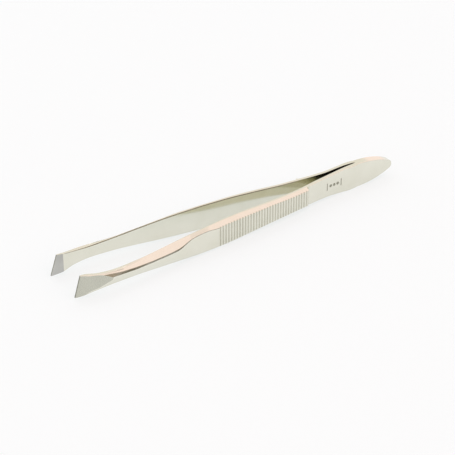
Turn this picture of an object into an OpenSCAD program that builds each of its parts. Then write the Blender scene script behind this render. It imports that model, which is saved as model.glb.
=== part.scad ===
// Slant tweezers: two stamped spring-steel arms, spot-welded together at the tail.
// The tweezers lie on their long edges. X runs along the length with the jaws at -X,
// Y crosses the opening and Z runs up the width of the blades. Lengths are millimetres.
// Stations along an arm are distances from the tail end.

/* [Overall] */
// Length from the tail end to the long corner of the jaws, before the bevel below trims the corner
length = 90; // [88:0.5:92]
// Greatest width of a blade, at the tail and at the grip
blade_w = 6.25; // [6:0.05:6.6]
// Opening between the middles of the two pads at rest
jaw_opening = 9.96; // [9.6:0.02:10.4]

/* [Thickness] */
// Thickness of the welded tail
tail_t = 1.0; // [0.8:0.05:1.2]
// Thickness of the ground spring neck
neck_t = 0.8; // [0.6:0.05:0.9]
// Thickness of the grooved grip
grip_t = 1.4; // [1.2:0.05:1.6]
// Height of the ridge where the shank meets the jaw
ridge_t = 1.55; // [1.4:0.05:1.7]
// Thickness of the jaw at its slanted edge
edge_t = 0.35; // [0.25:0.05:0.5]

/* [Grip] */
// Number of grooves across each grip
groove_n = 33; // [20:1:33]
// Distance from one groove to the next
groove_pitch = 0.8; // [0.7:0.01:0.8]
// Depth of a groove
groove_depth = 0.13; // [0.1:0.01:0.18]

/* [Jaw] */
// Angle of the jaw's edge from square to the blade
slant = 17.5; // [12:0.5:22]
// Length of the ground pad inside the jaw
pad_len = 3.1; // [2.6:0.1:3.6]
// Angle between the pad and the facet ground on the outside of the jaw
facet_angle = 16.7; // [15:0.1:18]

/* [Hidden] */
NEAR = -1;
FAR = 1;
STEEL = [0.86, 0.85, 0.80];
WELD = [0.70, 0.70, 0.67];
big = 40;

// Stations where one section of an arm ends and the next begins.
weld_end = 12.5;
flex_at = 18;
grip_rear = 25.2;
grip_front = 53.2;
jaw_rear = 81;
pad_rear = length - pad_len;

// Half of the gap between the arms.
half_gap = [
    [0, 0], [10.3, 0], [10.8, 0.14], [12, 0.26], [14, 0.36], [18, 0.52], [22, 0.88], [26, 1.42],
    [38, 2.68], [50, 3.6], [62, 4.58], [74, 5.33],
    [80, 5.46], [84, 5.28], [pad_rear, jaw_opening / 2 - 0.16], [length + 1, jaw_opening / 2 - 0.45]
];
// Half of the width of the blade.
half_w = blade_w / 2;
half_width = [
    [0, half_w], [weld_end, half_w], [20, 2.68], [29, 2.53], [38, 2.84], [46, half_w],
    [50, half_w], [56, 2.95], [62, 2.62], [68, 2.15], [74, 1.72], [80, 1.53], [84, 1.78],
    [88, 2.42], [length + 1, 2.56]
];
// Thickness at the middle of the outer face.
thickness = [
    [0, tail_t], [weld_end, tail_t], [15, neck_t], [grip_rear, neck_t], [26.2, grip_t], [51.5, grip_t],
    [58, 1.25], [68, 1.35], [80, ridge_t], [length + 1, ridge_t]
];
// The long edges are ground with one bevel in the grip, which fades out along the shank, and one
// scallop on the top and one under it in the shank. Each is given by how far the flat on the outside
// reaches above or below the middle.
grip_bevel = 45;
grip_top = [
    [grip_rear, 2.46], [25.7, 2.05], [26.2, 1.77], [30, 1.8], [38, 2.1], [50, 2.15], [52, 2.12],
    [56, 2.5], [59, 3.3], [jaw_rear, 3.3]
];
grip_bottom = [
    [grip_rear, 2.46], [26.2, 2.15], [36, 2.25], [44, 2.5], [52, 2.6], [59, 3.3], [jaw_rear, 3.3]
];
scallop_angle = 38;
scallop_top = [
    [grip_front, 2.6], [58, 2.42], [60, 2.15], [61, 1.85], [62, 1.42], [63, 1.05], [64, 0.82],
    [66, 0.7], [70, 0.6], [78, 0.6], [jaw_rear, 0.62]
];
under_angle = 25;
under_flat = [[grip_front, 2.75], [60, 2.2], [64, 1.5], [68, 0.9], [72, 0.4], [76, 0], [jaw_rear, -0.1]];
jaw_top = [[jaw_rear, 0.62], [84, 0.8], [length + 1, 1.4]];
jaw_bottom = [[jaw_rear, -0.1], [length + 1, -0.1]];

// Monotone cubic through a table of [station, value].
function secant(table, i) = (table[i + 1][1] - table[i][1]) / (table[i + 1][0] - table[i][0]);
function mean_slope(a, b) = a * b <= 0 ? 0 : 2 * a * b / (a + b);
function slope_at(table, i) =
    i == 0 || i == len(table) - 1 ? 0 : mean_slope(secant(table, i - 1), secant(table, i));
function cell(table, u, i = 0) =
    i >= len(table) - 2 || u < table[i + 1][0] ? i : cell(table, u, i + 1);
function hermite(p, q, m, n, t) =
    p * (1 + 2 * t) * pow(1 - t, 2) + q * t * t * (3 - 2 * t) + m * t * pow(1 - t, 2) - n * t * t * (1 - t);
function cubic(table, u) =
    let (i = cell(table, u), a = table[i], b = table[i + 1], step = b[0] - a[0])
    hermite(a[1], b[1], slope_at(table, i) * step, slope_at(table, i + 1) * step, (u - a[0]) / step);

function gap(u) = cubic(half_gap, u);
function outer(u) = gap(u) + cubic(thickness, u);
function station(u) = length / 2 - u;
function spaced(from, to, n) = [for (i = [0:n]) from + (to - from) * i / n];
function backwards(list) = [for (i = [len(list) - 1:-1:0]) list[i]];

// Squeezing turns each arm about the flex line on its inner face, until the pads lie this far
// from the middle.
pad_clearance = 0.01;
edge_half_w = 2.5;
edge_mid = length - edge_half_w * tan(slant);
flex_line = [station(flex_at), gap(flex_at)];
reach = flex_line[0] - station(edge_mid);
rise = jaw_opening / 2 - flex_line[1];
flex = atan(rise / reach) + asin((flex_line[1] - pad_clearance) / sqrt(pow(reach, 2) + pow(rise, 2)));
function closed(p) =
    let (d = p - flex_line)
    flex_line + [d[0] * cos(flex) - d[1] * sin(flex), d[0] * sin(flex) + d[1] * cos(flex)];

// Carries a shape drawn on the closed far arm to where it is at rest.
module opened() {
    translate(flex_line) rotate([0, 0, -flex]) translate(-flex_line) children();
}

// Places a shape drawn for the far arm on the named side.
module arm(side) {
    if (side == FAR) children();
    else mirror([0, 1, 0]) children();
}

// Strip of steel of the arm's thickness, bent to its curve.
module strip(stations) {
    inner = [for (u = stations) [station(u), gap(u)]];
    outside = [for (u = stations) [station(u), outer(u)]];
    linear_extrude(blade_w) polygon(concat(inner, backwards(outside)));
}

// Everything within the blade's outline, seen from the side.
module outline(stations) {
    under = [for (u = stations) [station(u), half_w - cubic(half_width, u)]];
    over = [for (u = stations) [station(u), half_w + cubic(half_width, u)]];
    translate([0, big / 2, 0]) rotate([90, 0, 0]) linear_extrude(big) polygon(concat(under, backwards(over)));
}

module blank(stations) {
    intersection() {
        strip(stations);
        outline(stations);
    }
}

// Everything inside one bevel: way 0 is the bevel on the top edge and way 1 the one below.
module inside_bevel(stations, angle, flats, way) {
    ground = [for (u = stations) [station(u), outer(u) * cos(angle) + cubic(flats, u) * sin(angle)]];
    first = ground[0][0];
    last = ground[len(ground) - 1][0];
    translate([0, 0, half_w])
        mirror([0, 0, way])
            rotate([angle, 0, 0])
                linear_extrude(big, center = true)
                    polygon(concat(ground, [[last, -big], [first, -big]]));
}

// Welded nuggets across the joint of the two tails.
weld_r = 1.0;
weld_depth = 0.3;
weld_at = [4.6, 8.6];
module nuggets() {
    for (u = weld_at)
        translate([station(u), weld_depth, half_w])
            rotate([90, 0, 0])
                cylinder(r = weld_r, h = 2 * weld_depth, $fn = 48);
}

// Outline of the tail: two arcs that run back from the full width to a round nose.
nose_r = 1.2;
widest_at = 10;
ogive_r = (pow(half_w, 2) - pow(nose_r, 2) + pow(widest_at - nose_r, 2)) / (2 * (half_w - nose_r));
nose_end = widest_at - (widest_at - nose_r) * ogive_r / (ogive_r - nose_r);
module leaf() {
    translate([station(nose_r), 0]) circle(nose_r, $fn = 64);
    intersection() {
        for (way = [0, 1])
            mirror([0, way])
                intersection() {
                    translate([station(widest_at), half_w - ogive_r]) circle(ogive_r, $fn = 400);
                    translate([station(widest_at), -1]) square([widest_at - nose_end, half_w + 1]);
                }
    }
    translate([station(weld_end), -half_w]) square([weld_end - widest_at, blade_w]);
}

module tail(side) {
    color(STEEL)
        arm(side)
            difference() {
                intersection() {
                    strip(concat([0, 10.3, 10.55, 10.8], spaced(11.4, weld_end, 2)));
                    translate([0, big / 2, half_w]) rotate([90, 0, 0]) linear_extrude(big) leaf();
                }
                nuggets();
            }
}

// Plain stamped mark on the outside of one arm: three dots between two bars.
module stamp() {
    dot_r = 0.4;
    spacing = 1.05;
    bar = [0.25, 1, 1.9];
    middle = 17.4;
    depth = 0.1;
    for (i = [-1:1]) {
        u = middle + i * spacing;
        translate([station(u), outer(u) - depth, half_w])
            rotate([-90, 0, 0])
                cylinder(r = dot_r, h = 1, $fn = 32);
    }
    for (i = [-2, 2]) {
        u = middle + i * spacing;
        translate([station(u) - bar[0] / 2, outer(u) - depth, half_w - bar[2] / 2]) cube(bar);
    }
}

module spring_rear(side) {
    color(STEEL)
        arm(side)
            difference() {
                blank(spaced(weld_end, flex_at, 5));
                if (side == NEAR) stamp();
            }
}

module spring_front(side) {
    color(STEEL)
        arm(side)
            difference() {
                blank(spaced(flex_at, grip_rear, 6));
                if (side == NEAR) stamp();
            }
}

module grooves() {
    groove_r = 0.21;
    first_groove = grip_rear + 1.35;
    for (k = [0:groove_n - 1]) {
        u = first_groove + k * groove_pitch;
        translate([station(u), outer(u) - groove_depth + groove_r, -1])
            cylinder(r = groove_r, h = blade_w + 2, $fn = 24);
    }
}

module grip(side) {
    stations = concat([grip_rear, 25.7], spaced(26.2, grip_front, 9));
    color(STEEL)
        arm(side)
            difference() {
                intersection() {
                    blank(stations);
                    inside_bevel(stations, grip_bevel, grip_top, 0);
                    inside_bevel(stations, grip_bevel, grip_bottom, 1);
                }
                grooves();
            }
}

module shank(side) {
    stations = concat(spaced(grip_front, 59, 4), spaced(60, 68, 8), spaced(70, jaw_rear, 6));
    // The bevels have stations of their own, between those of the blank.
    cuts = concat(spaced(grip_front, 58.4, 3), spaced(59.5, 67.5, 8), spaced(69.2, jaw_rear, 6));
    color(STEEL)
        arm(side)
            intersection() {
                blank(stations);
                inside_bevel(cuts, grip_bevel, grip_top, 0);
                inside_bevel(cuts, grip_bevel, grip_bottom, 1);
                inside_bevel(cuts, scallop_angle, scallop_top, 0);
                inside_bevel(cuts, under_angle, under_flat, 1);
            }
}

// The jaw is ground with the arms closed: a pad inside, a facet outside and a slanted edge.
module grind_jaw() {
    edge = closed([station(edge_mid), jaw_opening / 2]);
    translate([-big - length / 2, pad_clearance - big, -big / 2]) cube([2 * big, big, 2 * big]);
    translate([edge[0], pad_clearance + edge_t, half_w])
        rotate([0, slant, 0])
            rotate([0, 0, facet_angle])
                translate([-big, 0, -big]) cube([2 * big, big, 2 * big]);
    translate([edge[0], -big, half_w])
        rotate([0, slant, 0])
            translate([-big, 0, -big]) cube([big, 2 * big, 2 * big]);
}

module jaw(side) {
    stations = spaced(jaw_rear, length + 1, 10);
    color(STEEL)
        arm(side)
            difference() {
                intersection() {
                    blank(stations);
                    inside_bevel(stations, scallop_angle, jaw_top, 0);
                    inside_bevel(stations, under_angle, jaw_bottom, 1);
                }
                opened() grind_jaw();
            }
}

module spot_welds() {
    color(WELD) nuggets();
}

tail(NEAR);  // near_tail
spring_rear(NEAR);  // near_spring_rear
spring_front(NEAR);  // near_spring_front
grip(NEAR);  // near_grip
shank(NEAR);  // near_shank
jaw(NEAR);  // near_jaw
tail(FAR);  // far_tail
spring_rear(FAR);  // far_spring_rear
spring_front(FAR);  // far_spring_front
grip(FAR);  // far_grip
shank(FAR);  // far_shank
jaw(FAR);  // far_jaw
spot_welds();
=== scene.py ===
"""Slant tweezers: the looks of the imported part.

The arms are built in millimetres and each mesh is scaled to metres when it is finished. The studio and
the camera are in metres. A station is a distance from the tail end along an arm, in millimetres.
"""

import math

import bmesh
import bpy
from mathutils import Matrix, Vector


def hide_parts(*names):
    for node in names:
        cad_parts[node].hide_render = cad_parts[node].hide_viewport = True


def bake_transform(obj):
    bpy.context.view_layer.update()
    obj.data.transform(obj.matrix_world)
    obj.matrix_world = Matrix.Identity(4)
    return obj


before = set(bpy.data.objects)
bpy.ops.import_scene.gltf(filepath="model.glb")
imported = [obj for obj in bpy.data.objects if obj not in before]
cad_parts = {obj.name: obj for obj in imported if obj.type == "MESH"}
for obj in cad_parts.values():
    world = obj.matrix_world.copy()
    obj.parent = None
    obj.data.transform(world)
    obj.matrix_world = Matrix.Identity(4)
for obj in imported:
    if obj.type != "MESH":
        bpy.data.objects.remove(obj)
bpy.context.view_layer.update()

MM = 0.001
LENGTH = 90.0
HALF_W = 3.125
WIDEST_AT = 10.0
NOSE_R = 1.2
FLEX_AT = 18.0
GRIP_REAR = 25.2
GRIP_FULL = 26.2
PAD_REAR = 86.9
# The blank runs past the slanted edge, which is ground off it.
BLANK_END = 91
OPENING = 9.96
PAD_CLEARANCE = 0.01
EDGE_HALF_W = 2.5
EDGE_T = 0.35
SLANT = math.radians(17.5)
FACET = math.radians(16.7)

# Half of the gap between the arms, half of the width of the blade, and the thickness of the steel.
HALF_GAP = (
    (0, 0), (10.3, 0), (10.8, 0.14), (12, 0.26), (14, 0.36), (18, 0.52), (22, 0.88), (26, 1.42),
    (38, 2.68), (50, 3.6), (62, 4.58), (74, 5.33), (80, 5.46), (84, 5.28), (PAD_REAR, 4.82),
    (BLANK_END, 4.53),
)
HALF_WIDTH = (
    (0, HALF_W), (12.5, HALF_W), (20, 2.68), (29, 2.53), (38, 2.84), (46, HALF_W), (50, HALF_W),
    (56, 2.95), (62, 2.62), (68, 2.15), (74, 1.72), (80, 1.53), (84, 1.78), (88, 2.42),
    (BLANK_END, 2.56),
)
THICKNESS = (
    (0, 1.0), (12.5, 1.0), (15, 0.8), (GRIP_REAR, 0.8), (GRIP_FULL, 1.4), (51.5, 1.4), (58, 1.25),
    (68, 1.35), (80, 1.55), (BLANK_END, 1.55),
)
# Stands for an edge that isn't ground: it is more than any width or thickness.
WHOLE = 9
# How much of the thickness the long edges keep, next to the inner face, above and below.
LAND_TOP = (
    (0, WHOLE), (GRIP_REAR, WHOLE), (25.9, 0.62), (38, 0.62), (50, 0.42), (56, 0.42), (62, 0.28),
    (68, 0.18), (74, 0.25), (78, 0.55), (82, 0.62), (86, 0.5), (BLANK_END, 0.5),
)
LAND_BOTTOM = (
    (0, WHOLE), (GRIP_REAR, WHOLE), (25.9, 0.9), (36, 0.72), (44, 0.8), (50, 1.0), (56, 1.0),
    (64, 0.8), (72, 0.8), (80, 1.0), (BLANK_END, 1.1),
)
# Height of the steep chamfer along the inner edges, and how far it leans.
CHAMFER = ((0, 0.03), (24, 0.03), (29, 0.27), (78, 0.27), (86, 0.1), (BLANK_END, 0.06))
CHAMFER_TILT = math.radians(19)
# Where the bevels stop on the outer face, above and below the middle.
FLAT_TOP = (
    (0, WHOLE), (GRIP_REAR, 2.46), (25.7, 2.05), (GRIP_FULL, 1.77), (30, 1.8), (38, 2.1), (50, 2.15),
    (52, 2.1), (56, 2.46), (58, 2.4), (60, 2.15), (61, 1.85), (62, 1.42), (63, 1.05), (64, 0.82),
    (66, 0.7), (70, 0.65), (74, 0.78), (78, 1.08), (82, 1.5), (84, 1.67), (86, 2.05), (88, 2.35),
    (BLANK_END, 2.5),
)
FLAT_BOTTOM = (
    (0, WHOLE), (GRIP_REAR, 2.46), (GRIP_FULL, 2.15), (36, 2.25), (44, 2.5), (50, 2.7), (56, 2.6),
    (60, 2.2), (64, 1.5), (68, 0.9), (72, 0.4), (76, 0.1), (BLANK_END, 0.1),
)
# The band between the top scallop and the outer flat: its width, and its tilt in degrees.
BAND = (
    (0, 0.1), (50, 0.1), (52, 0.13), (60, 0.18), (62, 0.25), (64, 0.4), (70, 0.48), (74, 0.6),
    (78, 0.78), (82, 1.08), (84, 1.24), (88, 1.9), (BLANK_END, 2.0),
)
BAND_TILT = ((0, 0), (50, 0), (52.5, 19.5), (72, 19.5), (80, 22), (84, 23.5), (BLANK_END, 24))
BAND_BELOW = 0.1
# How far the top scallop swells in its middle, and at which shares of its height that is drawn.
CROWN = ((0, 0), (64, 0), (70, 0.03), (76, 0.11), (82, 0.11), (86, 0.02), (BLANK_END, 0))
CROWN_AT = (0.2, 0.4, 0.6, 0.8)
# Radii where a bevel meets the band, where the band meets the outer flat, and on the other edges.
CREASE_R = (
    (0, 0.12), (52, 0.2), (62, 0.25), (70, 0.5), (78, 0.8), (82, 0.8), (BLANK_END, 0.1),
)
CREASE_R_BELOW = 0.12
BROW_R = ((0, 0.08), (60, 0.1), (64, 0.3), (70, 0.7), (80, 0.7), (BLANK_END, 0.2))
EDGE_R = 0.07
# The least width of a bevel.
EDGE_BREAK = 0.11

GROOVES = 33
GROOVE_FIRST = 26.55
GROOVE_PITCH = 0.8
GROOVE_R = 0.21
GROOVE_DEPTH = 0.13

MARK_AT = 17.4
MARK_STEP = 1.05
DOT_R = 0.4
DOT_SIDES = 24
BAR_HALF_U = 0.125
BAR_HALF_Z = 0.95
MARK_PROUD = 0.004
MARK_SUNK = 0.06

# Cross-sections outside the grooves: the first station of each run, the step and the count.
SECTION_RUNS = ((WIDEST_AT, 0.4, 38), (GRIP_REAR, 0.1, 11), (53.0, 0.35, 109))
# Where the cross-sections of a groove stand, as shares of half of its width.
GROOVE_SHARES = (-1, -0.8, -0.5, -0.2, 0.2, 0.5, 0.8, 1)
GROOVE_MARGIN = 0.03
LEAST_STEP = 0.015
FLANK_STEPS = 24
NOSE_STEPS = 12
SMOOTH_BELOW = math.radians(35)
# A rounding takes at most this share of a side, so that neighbours don't meet. The point beyond it
# keeps the side flat: it lies this far on, or at this share of a short side.
ROUND_SHARE = 0.35
FLAT_KEPT = 0.03
FLAT_SHARE = 0.1
STRAIGHT = 1e-3
# These tell which faces lie in a groove and which are the inner face.
SHALLOWEST = 0.005
UNDER_GROOVE = 0.02
OVER_INNER = 0.01

POLISHED, GROUND, PAD, CUT, GROOVE, INNER = range(6)


def cubic(table, u):
    """Monotone cubic through a table of (station, value)."""
    last = len(table) - 1
    i = next((k for k in range(last) if u < table[k + 1][0]), last - 1)

    def secant(k):
        return (table[k + 1][1] - table[k][1]) / (table[k + 1][0] - table[k][0])

    def slope(k):
        if k == 0 or k == last:
            return 0.0
        a, b = secant(k - 1), secant(k)
        return 0.0 if a * b <= 0 else 2 * a * b / (a + b)

    (u0, p), (u1, q) = table[i], table[i + 1]
    step = u1 - u0
    t = min(max((u - u0) / step, 0.0), 1.0)
    m, n = slope(i) * step, slope(i + 1) * step
    return (
        p * (1 + 2 * t) * (1 - t) ** 2
        + q * t * t * (3 - 2 * t)
        + m * t * (1 - t) ** 2
        - n * t * t * (1 - t)
    )


def gap(u):
    return cubic(HALF_GAP, u)


def outer(u):
    return gap(u) + cubic(THICKNESS, u)


def groove_depth(u):
    """Depth of the grip's grooves at a station."""
    k = round((u - GROOVE_FIRST) / GROOVE_PITCH)
    if not 0 <= k < GROOVES:
        return 0.0
    off = u - GROOVE_FIRST - k * GROOVE_PITCH
    if abs(off) >= GROOVE_R:
        return 0.0
    return max(0.0, GROOVE_DEPTH - GROOVE_R + math.sqrt(GROOVE_R ** 2 - off ** 2))


def rounded(before, corner, after, radius, steps=4):
    """Points round a corner, with one more on each side to keep the flats flat."""
    to_before = before - corner
    to_after = after - corner
    room = min(to_before.length, to_after.length)
    a, b = to_before.normalized(), to_after.normalized()
    turn = math.pi - a.angle(b)
    keep = min(FLAT_KEPT, FLAT_SHARE * room)
    if turn < STRAIGHT:
        # The corner is straight, so its points lie in a row.
        half = (steps + 2) / 2
        return [corner + b * (keep * (i - half) / half) for i in range(steps + 3)]
    reach = min(radius * math.tan(turn / 2), ROUND_SHARE * room)
    radius = reach / math.tan(turn / 2)
    start, end = corner + a * reach, corner + b * reach
    centre = corner + (a + b).normalized() * (radius / math.cos(turn / 2))
    points = [corner + a * (reach + keep)]
    for i in range(steps + 1):
        spoke = start.lerp(end, i / steps) - centre
        points.append(centre + spoke.normalized() * radius)
    points.append(corner + b * (reach + keep))
    return points


def corners(u, top):
    """Corners of the upper or lower half of a section, as (y, z) with z away from the middle.

    They are the foot of the inner chamfer, its rim, the end of the land, the crease where the bevel
    ends and the brow where the outer flat begins.
    """
    h = cubic(HALF_WIDTH, u)
    depth = groove_depth(u)
    land = min(cubic(LAND_TOP if top else LAND_BOTTOM, u), cubic(THICKNESS, u) - EDGE_BREAK)
    flat = min(cubic(FLAT_TOP if top else FLAT_BOTTOM, u), h - EDGE_BREAK)
    band = cubic(BAND, u) if top else BAND_BELOW
    drop = band * math.tan(math.radians(cubic(BAND_TILT, u))) if top else 0.0
    chamfer = cubic(CHAMFER, u)
    crease_y = outer(u) - drop
    # In a groove, the bevel's end lies further out along the bevel.
    slope = (h - flat) / (crease_y - gap(u) - land)
    flat += depth * slope
    return (
        Vector((gap(u), h - chamfer)),
        Vector((gap(u) + chamfer * math.tan(CHAMFER_TILT), h)),
        Vector((gap(u) + land, h)),
        Vector((crease_y - depth, flat)),
        Vector((outer(u) - depth, flat - band)),
    )


def side_profile(u, way):
    """Half of a cross-section as (y, z), from the inner face round the long edge to the outer face."""
    top = way > 0
    inner, rim, land, crease, brow = corners(u, top)
    beyond = corners(u, not top)[-1]
    bulge = cubic(CROWN, u) if top else 0.0
    round_land = rounded(rim, land, crease, EDGE_R)
    round_crease = rounded(land, crease, brow, cubic(CREASE_R, u) if top else CREASE_R_BELOW)
    across = round_crease[0] - round_land[-1]
    square = Vector((-across.y, across.x)).normalized()
    if square.x < 0:
        square.negate()
    crown = [round_land[-1] + across * t + square * (4 * t * (1 - t) * bulge) for t in CROWN_AT]
    points = rounded(Vector((gap(u), 0)), inner, rim, EDGE_R)
    points += rounded(inner, rim, land, EDGE_R)
    points += round_land + crown + round_crease
    points += rounded(crease, brow, Vector((beyond.x, -beyond.y)), cubic(BROW_R, u))
    return [(p.x, way * p.y) for p in points]


def stations():
    """Where the cross-sections of the arm stand, closest in the grooves."""
    marks = [start + step * i for start, step, count in SECTION_RUNS for i in range(count)]
    for k in range(GROOVES):
        middle = GROOVE_FIRST + k * GROOVE_PITCH
        half = math.sqrt(GROOVE_R ** 2 - (GROOVE_R - GROOVE_DEPTH) ** 2)
        marks += [middle + side * (half + GROOVE_MARGIN) for side in (-1, 1)]
        marks += [middle + half * share for share in GROOVE_SHARES]
    marks = sorted(m for m in marks if m < BLANK_END)
    return [m for i, m in enumerate(marks) if i == 0 or m - marks[i - 1] > LEAST_STEP]


def tail_outline():
    """Points (u, z) and outward directions round the tail, from below to above."""
    ogive = (HALF_W ** 2 - NOSE_R ** 2 + (WIDEST_AT - NOSE_R) ** 2) / (2 * (HALF_W - NOSE_R))
    lean = math.asin((WIDEST_AT - NOSE_R) / (ogive - NOSE_R))
    upper = []
    for i in range(1, FLANK_STEPS + 1):
        a = lean * i / FLANK_STEPS
        out = (-math.sin(a), math.cos(a))
        upper.append((WIDEST_AT + ogive * out[0], HALF_W - ogive + ogive * out[1], out))
    for i in range(1, NOSE_STEPS + 1):
        a = lean + (math.pi / 2 - lean) * i / NOSE_STEPS
        out = (-math.sin(a), math.cos(a))
        upper.append((NOSE_R + NOSE_R * out[0], NOSE_R * out[1], out))
    lower = [(u, -z, (out[0], -out[1])) for u, z, out in upper[:-1]]
    return lower + upper[::-1]


def place(u, y, z):
    """The point of an arm at a station, y from the middle plane and z from the middle height."""
    return Vector((LENGTH / 2 - u, y, HALF_W + z))


def add_blade(bm):
    """Skins the arm from the widest part of the tail to the end of the blank.

    The first ring of points comes back, which the tail is joined to.
    """
    marks = stations()
    rings = []
    for u in marks:
        ring = side_profile(u, 1) + side_profile(u, -1)[::-1]
        rings.append([bm.verts.new(place(u, y, z)) for y, z in ring])
    count = len(rings[0])
    for (u, a), (v, b) in zip(zip(marks, rings), zip(marks[1:], rings[1:])):
        middle = (u + v) / 2
        grooved = groove_depth(middle) > SHALLOWEST
        for j in range(count):
            k = (j + 1) % count
            face = bm.faces.new((a[j], a[k], b[k], b[j]))
            y = face.calc_center_median().y
            if grooved and y > outer(u) - GROOVE_DEPTH - UNDER_GROOVE:
                face.material_index = GROOVE
            elif y < gap(middle) + OVER_INNER:
                face.material_index = INNER
    bm.faces.new(rings[-1])
    return rings[0]


def add_tail(bm, ring):
    """Closes the arm round the outline of the tail, from the lower half of a ring to the upper half."""
    half = len(ring) // 2
    profile = side_profile(WIDEST_AT, 1)
    columns = [ring[half:][::-1]]
    for u, z, out in tail_outline():
        column = []
        for y, height in profile:
            inset = HALF_W - height
            column.append(bm.verts.new(place(u - out[0] * inset, y, z - out[1] * inset)))
        columns.append(column)
    columns.append(ring[:half])
    for a, b in zip(columns, columns[1:]):
        for k in range(half - 1):
            bm.faces.new((a[k], a[k + 1], b[k + 1], b[k]))
    bm.faces.new([c[0] for c in columns])
    bm.faces.new([c[-1] for c in columns][::-1])


def slice_off(bm, point, normal, material):
    """Cuts away what lies on the normal's side of a plane and closes the cut."""
    cut = bmesh.ops.bisect_plane(
        bm, geom=bm.verts[:] + bm.edges[:] + bm.faces[:], dist=1e-5, plane_co=point, plane_no=normal,
        clear_outer=True,
    )
    edges = [e for e in cut["geom_cut"] if isinstance(e, bmesh.types.BMEdge)]
    for face in bmesh.ops.contextual_create(bm, geom=edges)["faces"]:
        face.material_index = material
        for edge in face.edges:
            edge.smooth = False


def grind_jaw(bm):
    """Grinds the pad, the outer facet and the slanted edge, as they stand with the arms closed."""
    line = Vector((LENGTH / 2 - FLEX_AT, gap(FLEX_AT), 0))
    edge_mid = LENGTH - EDGE_HALF_W * math.tan(SLANT)
    arm = Vector((LENGTH / 2 - edge_mid, OPENING / 2, 0)) - line
    lift = math.atan2(arm.y, -arm.x)
    flex = lift + math.asin((line.y - PAD_CLEARANCE) / arm.length)
    opened = Matrix.Translation(line) @ Matrix.Rotation(-flex, 4, "Z") @ Matrix.Translation(-line)
    closed_edge = opened.inverted() @ (arm + line)
    pad_point = Vector((0, PAD_CLEARANCE, 0))
    edge_point = Vector((closed_edge.x, 0, HALF_W))
    facet_point = Vector((closed_edge.x, PAD_CLEARANCE + EDGE_T, HALF_W))
    slanted = Matrix.Rotation(SLANT, 4, "Y")
    facet_turn = slanted @ Matrix.Rotation(FACET, 4, "Z")
    turn = opened.to_3x3()
    facet_normal = turn @ (facet_turn.to_3x3() @ Vector((0, 1, 0)))
    edge_normal = turn @ (slanted.to_3x3() @ Vector((-1, 0, 0)))
    slice_off(bm, opened @ pad_point, turn @ Vector((0, -1, 0)), PAD)
    slice_off(bm, opened @ facet_point, facet_normal, GROUND)
    slice_off(bm, opened @ edge_point, edge_normal, CUT)


def finished(name, bm):
    """Makes an object from a mesh built in millimetres."""
    bmesh.ops.scale(bm, vec=(MM, MM, MM), verts=bm.verts)
    mesh = bpy.data.meshes.new(name)
    bm.to_mesh(mesh)
    bm.free()
    obj = bpy.data.objects.new(name, mesh)
    bpy.context.collection.objects.link(obj)
    return obj


def make_arm(name, side):
    """One arm as a closed mesh: side is 1 for the far arm, and -1 for its mirror image, the near one."""
    bm = bmesh.new()
    add_tail(bm, add_blade(bm))
    bmesh.ops.recalc_face_normals(bm, faces=bm.faces)
    for edge in bm.edges:
        edge.smooth = edge.calc_face_angle(0.0) < SMOOTH_BELOW
    grind_jaw(bm)
    for face in bm.faces:
        face.smooth = True
    if side < 0:
        for vert in bm.verts:
            vert.co.y *= -1
        bmesh.ops.reverse_faces(bm, faces=bm.faces)
    obj = finished(name, bm)
    inner = STRAW_STEEL if side < 0 else POLISHED_STEEL
    for material in (POLISHED_STEEL, GROUND_STEEL_PAINTED_SHADE, PAD_STEEL, CUT_STEEL_PAINTED_DARK, GROOVE_STEEL_PAINTED_SHADE, inner):
        obj.data.materials.append(material)
    return obj


class Nodes:
    """A short way to build a material's node tree."""

    def __init__(self, name):
        self.material = bpy.data.materials.new(name)
        self.material.use_nodes = True
        self.tree = self.material.node_tree
        self.shader = self.tree.nodes["Principled BSDF"]

    def add(self, kind, **values):
        node = self.tree.nodes.new(kind)
        for key, value in values.items():
            if key in node.inputs:
                node.inputs[key].default_value = value
            else:
                setattr(node, key, value)
        return node

    def link(self, source, target):
        self.tree.links.new(source, target)

    def lines(self, stretch, scale, detail=3.0):
        """Noise drawn out into lines: stretch is the scale along X, Y and Z."""
        where = self.add("ShaderNodeTexCoord")
        mapping = self.add("ShaderNodeMapping", Scale=stretch)
        noise = self.add("ShaderNodeTexNoise", Scale=scale, Detail=detail, Roughness=0.6)
        self.link(where.outputs["Object"], mapping.inputs["Vector"])
        self.link(mapping.outputs["Vector"], noise.inputs["Vector"])
        return noise.outputs["Fac"]

    def spread(self, source, low, high):
        """Stretches the middle of a noise's range from low to high."""
        span = self.add("ShaderNodeMapRange")
        span.inputs["From Min"].default_value = 0.3
        span.inputs["From Max"].default_value = 0.7
        span.inputs["To Min"].default_value = low
        span.inputs["To Max"].default_value = high
        self.link(source, span.inputs["Value"])
        return span.outputs["Result"]

    def tint(self, source, dark, light):
        mix = self.add("ShaderNodeMix", data_type="RGBA")
        colours = [s for s in mix.inputs if s.type == "RGBA"]
        colours[0].default_value = (*dark, 1)
        colours[1].default_value = (*light, 1)
        self.link(self.spread(source, 0, 1), mix.inputs[0])
        mixed = [s for s in mix.outputs if s.type == "RGBA"][0]
        self.link(mixed, self.shader.inputs["Base Color"])

    def bump(self, source, strength, distance):
        bump = self.add("ShaderNodeBump", Strength=strength, Distance=distance)
        self.link(source, bump.inputs["Height"])
        self.link(bump.outputs["Normal"], self.shader.inputs["Normal"])


CLOUD_SCALE = 160
GRAIN_HEIGHT = 0.00002


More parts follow.
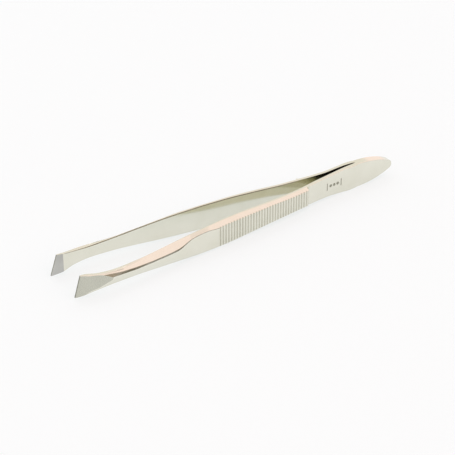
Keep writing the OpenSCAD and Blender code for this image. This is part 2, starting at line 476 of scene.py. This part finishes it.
def steel(name, dark, light, rough, stretch, scale, bump):
    """Steel with a cloudy tint between two colours, and grain drawn out along the arm or across it."""
    nodes = Nodes(name)
    nodes.shader.inputs["Metallic"].default_value = 1.0
    grain = nodes.lines(stretch, scale)
    cloud = nodes.lines((1, 1, 1), CLOUD_SCALE)
    nodes.tint(cloud, dark, light)
    nodes.link(nodes.spread(grain, *rough), nodes.shader.inputs["Roughness"])
    nodes.bump(grain, bump, GRAIN_HEIGHT)
    return nodes.material


def mark_material():
    nodes = Nodes("etched_mark")
    nodes.shader.inputs["Metallic"].default_value = 0.6
    grain = nodes.lines((1, 1, 1), 7000)
    nodes.tint(grain, (0.27, 0.27, 0.22), (0.42, 0.42, 0.35))
    nodes.link(nodes.spread(grain, 0.5, 0.7), nodes.shader.inputs["Roughness"])
    return nodes.material


POLISHED_STEEL = steel(
    "polished_steel", (0.76, 0.75, 0.65), (0.80, 0.79, 0.70), (0.08, 0.15), (1, 1, 0.06), 9000, 0.15
)
# Partly real, partly painted. The rougher grain is the facet's real ground finish. Its darker colour is
# painted shade standing in for the darker surroundings the facet reflects.
GROUND_STEEL_PAINTED_SHADE = steel(
    "ground_steel", (0.52, 0.52, 0.45), (0.58, 0.58, 0.50), (0.20, 0.32), (1, 1, 0.05), 9000, 0.3
)
PAD_STEEL = steel(
    "pad_steel", (0.50, 0.50, 0.48), (0.58, 0.58, 0.55), (0.30, 0.45), (1, 1, 0.04), 12000, 0.5
)
# Painted reflection: the near-black colour of the slanted cut end stands in for the dark line that the
# jaw's edge reflects. The steel itself is not this dark.
CUT_STEEL_PAINTED_DARK = steel(
    "cut_steel_painted_dark", (0.26, 0.26, 0.22), (0.34, 0.34, 0.29), (0.3, 0.5), (1, 0.1, 1), 9000, 0.4
)
# Painted shade in the grip's grooves: their darker colour stands in for the shade in these recesses. The
# rougher grain is their real finish.
GROOVE_STEEL_PAINTED_SHADE = steel(
    "groove_steel_painted_shade", (0.53, 0.52, 0.43), (0.63, 0.62, 0.52), (0.25, 0.4), (1, 1, 0.1), 6000, 0.3
)
STRAW_STEEL = steel(
    "straw_steel", (0.71, 0.68, 0.53), (0.75, 0.72, 0.58), (0.08, 0.15), (1, 1, 0.06), 9000, 0.15
)
WELD_STEEL = steel(
    "weld_steel", (0.40, 0.39, 0.37), (0.50, 0.49, 0.46), (0.4, 0.6), (1, 1, 1), 4000, 0.4
)


def mark_shapes():
    """Outlines (u, z) of three dots between two bars."""
    turns = [2 * math.pi * k / DOT_SIDES for k in range(DOT_SIDES)]
    shapes = []
    for i in (-1, 0, 1):
        u = MARK_AT + i * MARK_STEP
        shapes.append([(u + DOT_R * math.cos(a), DOT_R * math.sin(a)) for a in turns])
    for i in (-2, 2):
        u = MARK_AT + i * MARK_STEP
        signs = ((-1, -1), (1, -1), (1, 1), (-1, 1))
        shapes.append([(u + a * BAR_HALF_U, b * BAR_HALF_Z) for a, b in signs])
    return shapes


def stamp():
    """A plain mark on the near arm. Each shape is a thin plug in the steel."""
    bm = bmesh.new()
    for shape in mark_shapes():
        face = [bm.verts.new(place(u, -(outer(u) + MARK_PROUD), z)) for u, z in shape]
        base = [bm.verts.new(place(u, -(outer(u) - MARK_SUNK), z)) for u, z in shape]
        bm.faces.new(face)
        bm.faces.new(base[::-1])
        for k in range(len(shape)):
            j = (k + 1) % len(shape)
            bm.faces.new((face[k], base[k], base[j], face[j]))
    bmesh.ops.recalc_face_normals(bm, faces=bm.faces)
    obj = finished("near_stamp", bm)
    obj.data.materials.append(mark_material())
    return obj


ARM_PARTS = ("tail", "spring_rear", "spring_front", "grip", "shank", "jaw")
# The steel bends between the weld and the step up to the grip.
for side_name, side in (("near", -1), ("far", 1)):
    arm = make_arm(side_name + "_arm_steel", side)
    arm_nodes = [side_name + "_" + part for part in ARM_PARTS]
    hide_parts(*arm_nodes)
    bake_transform(arm)
mark = stamp()
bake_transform(mark)
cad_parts["spot_welds"].data.materials.clear()
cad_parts["spot_welds"].data.materials.append(WELD_STEEL)

FLOOR_SIZE = 6
# Compass angle that the main cards stand at, from the -Y direction towards +X, in degrees.
CARD_TURN = 22
# Twelfths of a full turn at which the dark cards stand. The two left out would darken the tail's nose.
HORIZON_TURNS = (0, 1, 2, 5, 6, 7, 8, 9, 10, 11)
BLACK = (0, 0, 0)


def studio_material(name, colour, glow, strength):
    nodes = Nodes(name)
    nodes.shader.inputs["Base Color"].default_value = (*colour, 1)
    nodes.shader.inputs["Roughness"].default_value = 0.8
    nodes.shader.inputs["Specular IOR Level"].default_value = 0.0
    nodes.shader.inputs["Emission Color"].default_value = (*glow, 1)
    nodes.shader.inputs["Emission Strength"].default_value = strength
    return nodes.material


def card(name, centre, facing, width, height, material, camera=False):
    """A flat studio card that faces a point. The camera sees it only if that is asked for."""
    mesh = bpy.data.meshes.new(name)
    w, h = width / 2, height / 2
    mesh.from_pydata([(-w, -h, 0), (w, -h, 0), (w, h, 0), (-w, h, 0)], [], [(0, 1, 2, 3)])
    mesh.materials.append(material)
    obj = bpy.data.objects.new(name, mesh)
    bpy.context.collection.objects.link(obj)
    obj.location = centre
    obj.rotation_euler = (Vector(facing) - Vector(centre)).to_track_quat("Z", "Y").to_euler()
    obj.visible_camera = camera


def polar(azimuth, elevation, distance):
    """A point at a compass angle from the -Y direction towards +X, above the floor."""
    a, e = math.radians(azimuth), math.radians(elevation)
    return Vector((math.sin(a) * math.cos(e), -math.cos(a) * math.cos(e), math.sin(e))) * distance


def make_cards():
    """The floor, and the cards that the steel reflects: warm, dim and cream ones and a dark horizon."""
    floor_white = studio_material("floor_white", (0.35, 0.35, 0.355), (0.95, 0.99, 1.0), 0.64)
    card("floor", (0, 0, 0), (0, 0, 1), FLOOR_SIZE, FLOOR_SIZE, floor_white, camera=True)
    warm = studio_material("warm", BLACK, (1.0, 0.84, 0.80), 1.18)
    card("warm_card", polar(CARD_TURN, 42, 0.8), (0, 0, 0), 1.4, 0.9, warm)
    warm_top = studio_material("warm_top", BLACK, (1.0, 0.86, 0.81), 1.05)
    card("warm_top_card", polar(CARD_TURN, 88, 0.8), (0, 0, 0), 1.2, 0.8, warm_top)
    dim = studio_material("dim", BLACK, (1.0, 0.80, 0.62), 0.42)
    card("dim_card", polar(CARD_TURN, 10.5, 0.85), (0, 0, 0.08), 1.2, 0.115, dim)
    cream = studio_material("cream", BLACK, (1.0, 0.95, 0.88), 0.97)
    card("cream_card", polar(146, 32, 0.9), (0, 0, 0), 0.6, 0.5, cream)
    card("warm_side", polar(130, 10, 0.9), (0, 0, 0.1), 0.5, 0.4, warm)
    dark = studio_material("dark", BLACK, (1.0, 0.87, 0.65), 0.17)
    for turn in HORIZON_TURNS:
        where = polar(CARD_TURN + 30 * turn, 3, 0.9)
        card(f"horizon_{turn}", where, (0, 0, 0.047), 0.5, 0.1, dark)


def make_world():
    world = bpy.data.worlds.new("studio")
    bpy.context.scene.world = world
    world.use_nodes = True
    world.node_tree.nodes["Background"].inputs["Color"].default_value = (1.0, 1.0, 1.0, 1)
    world.node_tree.nodes["Background"].inputs["Strength"].default_value = 1.0


def soft_light(name, position, size, power):
    light = bpy.data.lights.new(name, "AREA")
    light.shape = "DISK"
    light.size = size
    light.energy = power
    obj = bpy.data.objects.new(name, light)
    bpy.context.collection.objects.link(obj)
    obj.location = position
    obj.rotation_euler = Vector(position).to_track_quat("Z", "Y").to_euler()


CAMERA_AZIMUTH = math.radians(-34.16)
CAMERA_ELEVATION = math.radians(31.63)
CAMERA_LENS = 146.15
# Where the camera stands from the part's origin, in millimetres: back, to its left and up.
CAMERA_BACK = 422.84
CAMERA_LEFT = 1.469
CAMERA_UP = 0.113


def make_camera():
    back = Vector((
        math.sin(CAMERA_AZIMUTH) * math.cos(CAMERA_ELEVATION),
        -math.cos(CAMERA_AZIMUTH) * math.cos(CAMERA_ELEVATION),
        math.sin(CAMERA_ELEVATION),
    ))
    right = Vector((math.cos(CAMERA_AZIMUTH), math.sin(CAMERA_AZIMUTH), 0))
    up = back.cross(right)
    camera_data = bpy.data.cameras.new("camera")
    camera_data.lens = CAMERA_LENS
    camera_data.clip_start = 0.01
    camera = bpy.data.objects.new("camera", camera_data)
    bpy.context.collection.objects.link(camera)
    camera.location = (back * CAMERA_BACK - right * CAMERA_LEFT + up * CAMERA_UP) * MM
    camera.rotation_mode = "QUATERNION"
    camera.rotation_quaternion = (-back).to_track_quat("-Z", "Y")
    bpy.context.scene.camera = camera


make_cards()
make_world()
soft_light("key", (0.2, 0.3, 0.9), 0.6, 1.2)
make_camera()
bpy.context.scene.view_settings.view_transform = "Standard"
